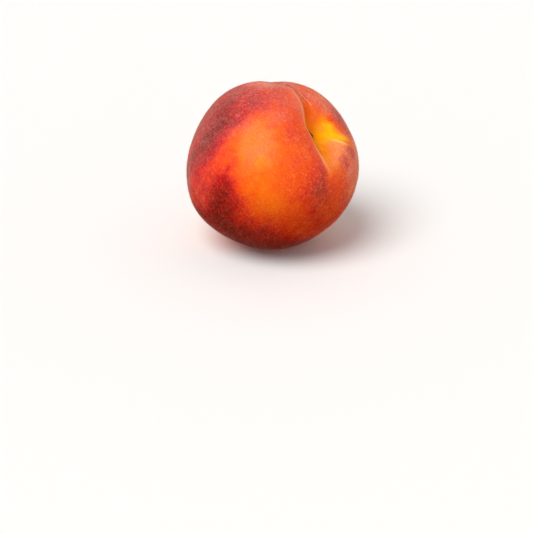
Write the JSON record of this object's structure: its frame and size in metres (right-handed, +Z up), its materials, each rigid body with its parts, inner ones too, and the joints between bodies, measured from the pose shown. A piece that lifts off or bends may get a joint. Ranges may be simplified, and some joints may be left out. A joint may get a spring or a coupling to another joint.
{
  "type": "peach",
  "caption": "Whole ripe yellow peach with a red blush, suture groove, fuzzy skin and a deep stem cavity with its woody scar, resting on its cheek on a small flat spot.",
  "frame": {"origin": "middle of the bottom of the bounding box, on the surface that the fruit rests on, inside its flat spot", "axes": "+Z up, away from the flat spot; the stem cavity points up at 43 degrees, towards +X and a little towards -Y; -Y is the side seen first"},
  "size_m": [0.0716, 0.0722, 0.0704],
  "materials": {
    "peach_skin": "matte",
    "stem_wood": "matte"
  },
  "bodies": {
    "root": {"peach_fruit": "peach_skin", "stem_scar": "stem_wood"}
  },
  "joints": []
}
